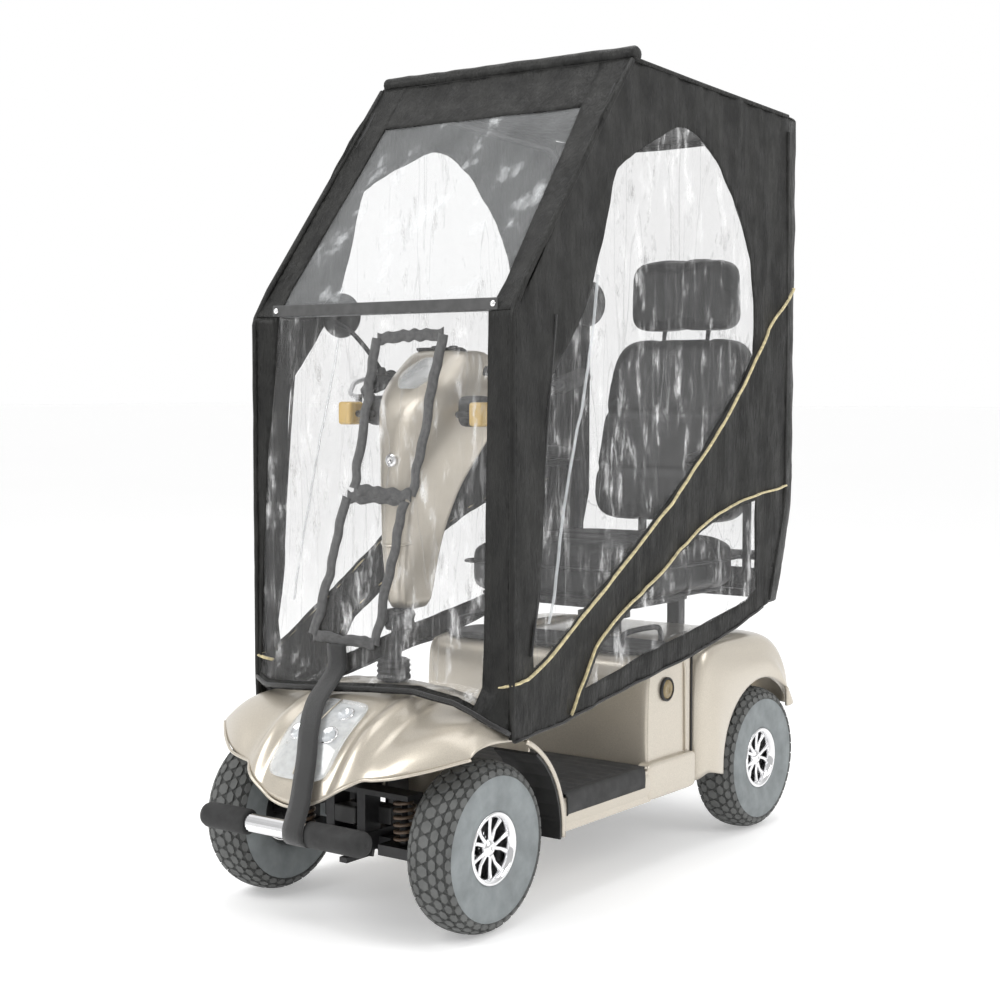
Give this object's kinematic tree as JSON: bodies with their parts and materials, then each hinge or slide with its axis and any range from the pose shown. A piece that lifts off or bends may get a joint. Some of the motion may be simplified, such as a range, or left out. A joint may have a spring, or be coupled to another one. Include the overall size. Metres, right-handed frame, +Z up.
{
  "type": "mobility scooter",
  "caption": "Four-wheel mobility scooter with a tilting tiller, swivelling seat and an enclosed all-weather canopy over the rider.",
  "frame": {"origin": "on the ground, at the middle of the whole scooter's bounding box", "axes": "+Z up, -Y the direction of travel, +X to the rider's left"},
  "size_m": [0.632, 1.4854, 1.652],
  "materials": {
    "frame_black": "satin black powder coat",
    "body_paint": "champagne metallic gloss",
    "bumper_chrome": "polished",
    "wheel_chrome": "polished spokes over black",
    "foam": "closed-cell foam",
    "deck_rubber": "ribbed matt",
    "tyre": "non-marking grey",
    "spring": "bronzed wire",
    "cast_aluminium": "as cast",
    "lever_aluminium": "satin",
    "black_plastic": "fine grain moulding",
    "key_metal": "satin",
    "amber": "prismatic lens",
    "canopy_fabric": "coated woven polyester",
    "clear_pvc": "soft clear film",
    "webbing": "woven strap",
    "seat_vinyl": "grained vinyl"
  },
  "bodies": {
    "chassis": {"chassis_frame": "frame_black", "front_bumper": "bumper_chrome", "bumper_pad_left": "foam", "bumper_pad_right": "foam", "front_cowl": "body_paint", "floor_pan": "body_paint", "deck_mat": "deck_rubber", "front_inner_guard": "black_plastic", "battery_cover": "body_paint", "rear_fender_left": "body_paint", "rear_fender_right": "body_paint", "battery_pack": "black_plastic", "transaxle": "cast_aluminium", "reflector_left": "amber", "reflector_right": "amber", "tiller_boot": "deck_rubber", "spring_left": "spring", "spring_right": "spring", "canopy_hoop_left": "frame_black", "canopy_hoop_right": "frame_black", "windscreen_bar": "frame_black", "canopy_stay": "frame_black", "canopy_roof": "canopy_fabric", "side_panel_left": "canopy_fabric", "side_panel_right": "canopy_fabric", "canopy_rear": "canopy_fabric", "windscreen_upper": "clear_pvc", "windscreen_lower": "clear_pvc", "hold_down_strap": "webbing"},
    "freewheel": {"freewheel_lever": "black_plastic"},
    "arm_left": {"swing_arm_left": "frame_black"},
    "arm_right": {"swing_arm_right": "frame_black"},
    "knuckle_left": {"knuckle_left": "frame_black"},
    "knuckle_right": {"knuckle_right": "frame_black"},
    "wheel_front_left": {"tyre_front_left": "tyre", "rim_front_left": "wheel_chrome"},
    "wheel_front_right": {"tyre_front_right": "tyre", "rim_front_right": "wheel_chrome"},
    "wheel_rear_left": {"tyre_rear_left": "tyre", "rim_rear_left": "wheel_chrome"},
    "wheel_rear_right": {"tyre_rear_right": "tyre", "rim_rear_right": "wheel_chrome"},
    "steering": {"steering_stub": "frame_black"},
    "tiller": {"tiller_column": "frame_black", "tiller_fairing": "body_paint", "indicator_left": "amber", "indicator_right": "amber"},
    "throttle": {"throttle_lever": "black_plastic"},
    "brake": {"brake_lever": "lever_aluminium"},
    "mirror_left": {"mirror_left": "black_plastic"},
    "mirror_right": {"mirror_right": "black_plastic"},
    "horn": {"horn_button": "black_plastic"},
    "key": {"ignition_key": "key_metal"},
    "seat_base": {"seat_post": "frame_black"},
    "carriage": {"seat_carriage": "frame_black", "seat_cushion": "seat_vinyl"},
    "seat_back": {"seat_back": "seat_vinyl"},
    "headrest": {"headrest": "seat_vinyl"},
    "armrest_left": {"armrest_left": "seat_vinyl"},
    "armrest_right": {"armrest_right": "seat_vinyl"}
  },
  "joints": [
    {"name": "tiller_steer", "type": "hinge", "parent": "chassis", "child": "steering", "pos_m": [0, -0.422, 0.409], "axis": [0, 0.2516, 0.9678], "range_deg": [-12, 12]},
    {"name": "tiller_tilt", "type": "hinge", "parent": "steering", "child": "tiller", "pos_m": [0, -0.41134, 0.45], "axis": [1, 0, 0], "range_deg": [-8, 3]},
    {"name": "suspension_left", "type": "hinge", "parent": "chassis", "child": "arm_left", "pos_m": [0.066, -0.478, 0.14], "axis": [0, 1, 0], "range_deg": [-3, 3], "stiffness_Nm_per_rad": 9000, "springref_deg": 0.46, "deforming": ["spring_left"]},
    {"name": "steer_left", "type": "hinge", "parent": "arm_left", "child": "knuckle_left", "pos_m": [0.185, -0.478, 0.159], "axis": [0, 0, 1], "range_deg": [-25, 25]},
    {"name": "wheel_front_left_spin", "type": "hinge", "parent": "knuckle_left", "child": "wheel_front_left", "pos_m": [0.249, -0.478, 0.158], "axis": [1, 0, 0], "continuous": true},
    {"name": "wheel_rear_left_spin", "type": "hinge", "parent": "chassis", "child": "wheel_rear_left", "pos_m": [0.259, 0.51, 0.158], "axis": [1, 0, 0], "continuous": true},
    {"name": "suspension_right", "type": "hinge", "parent": "chassis", "child": "arm_right", "pos_m": [-0.066, -0.478, 0.14], "axis": [0, -1, 0], "range_deg": [-3, 3], "stiffness_Nm_per_rad": 9000, "springref_deg": 0.46, "deforming": ["spring_right"]},
    {"name": "steer_right", "type": "hinge", "parent": "arm_right", "child": "knuckle_right", "pos_m": [-0.185, -0.478, 0.159], "axis": [0, 0, 1], "range_deg": [-25, 25]},
    {"name": "wheel_front_right_spin", "type": "hinge", "parent": "knuckle_right", "child": "wheel_front_right", "pos_m": [-0.249, -0.478, 0.158], "axis": [1, 0, 0], "continuous": true},
    {"name": "wheel_rear_right_spin", "type": "hinge", "parent": "chassis", "child": "wheel_rear_right", "pos_m": [-0.259, 0.51, 0.158], "axis": [1, 0, 0], "continuous": true},
    {"name": "freewheel_lever_turn", "type": "hinge", "parent": "chassis", "child": "freewheel", "pos_m": [-0.105, 0.566, 0.158], "axis": [1, 0, 0], "range_deg": [0, 30]},
    {"name": "throttle_turn", "type": "hinge", "parent": "tiller", "child": "throttle", "pos_m": [0, -0.236, 0.935], "axis": [0, 0, 1], "range_deg": [-5, 5], "stiffness_Nm_per_rad": 1.5},
    {"name": "brake_pull", "type": "hinge", "parent": "tiller", "child": "brake", "pos_m": [-0.196, -0.284, 0.966], "axis": [0, 0, 1], "range_deg": [-5, 0], "stiffness_Nm_per_rad": 4, "springref_deg": 1.15},
    {"name": "mirror_left_turn", "type": "hinge", "parent": "tiller", "child": "mirror_left", "pos_m": [0.13, -0.284, 1.018], "axis": [0, 0, 1], "range_deg": [-1, 10]},
    {"name": "mirror_right_turn", "type": "hinge", "parent": "tiller", "child": "mirror_right", "pos_m": [-0.13, -0.29, 1.018], "axis": [0, 0, 1], "range_deg": [-8, 3]},
    {"name": "horn_press", "type": "slide", "parent": "tiller", "child": "horn", "axis": [0, -1, 0], "range_m": [0, 0.004], "stiffness_N_per_m": 300},
    {"name": "key_turn", "type": "hinge", "parent": "tiller", "child": "key", "pos_m": [-0.062, -0.21, 1], "axis": [0, 1, 0], "range_deg": [0, 70]},
    {"name": "seat_swivel", "type": "hinge", "parent": "chassis", "child": "seat_base", "pos_m": [0, 0.325, 0.48], "axis": [0, 0, 1], "range_deg": [-4, 4]},
    {"name": "seat_slide", "type": "slide", "parent": "seat_base", "child": "carriage", "axis": [0, -1, 0], "range_m": [0, 0.06]},
    {"name": "seat_recline", "type": "hinge", "parent": "carriage", "child": "seat_back", "pos_m": [0, 0.599, 0.7], "axis": [1, 0, 0], "range_deg": [-1, 90]},
    {"name": "headrest_lift", "type": "slide", "parent": "seat_back", "child": "headrest", "axis": [0, 0.1772, 0.9842], "range_m": [0, 0.03]},
    {"name": "armrest_left_flip", "type": "hinge", "parent": "carriage", "child": "armrest_left", "pos_m": [0.25, 0.566, 0.8], "axis": [1, 0, 0], "range_deg": [-85, 0]},
    {"name": "armrest_right_flip", "type": "hinge", "parent": "carriage", "child": "armrest_right", "pos_m": [-0.25, 0.566, 0.8], "axis": [1, 0, 0], "range_deg": [-85, 0]}
  ],
  "couplings": [
    {"joint": "steer_left", "follows": "tiller_steer", "ratio": 2},
    {"joint": "steer_right", "follows": "tiller_steer", "ratio": 2}
  ]
}
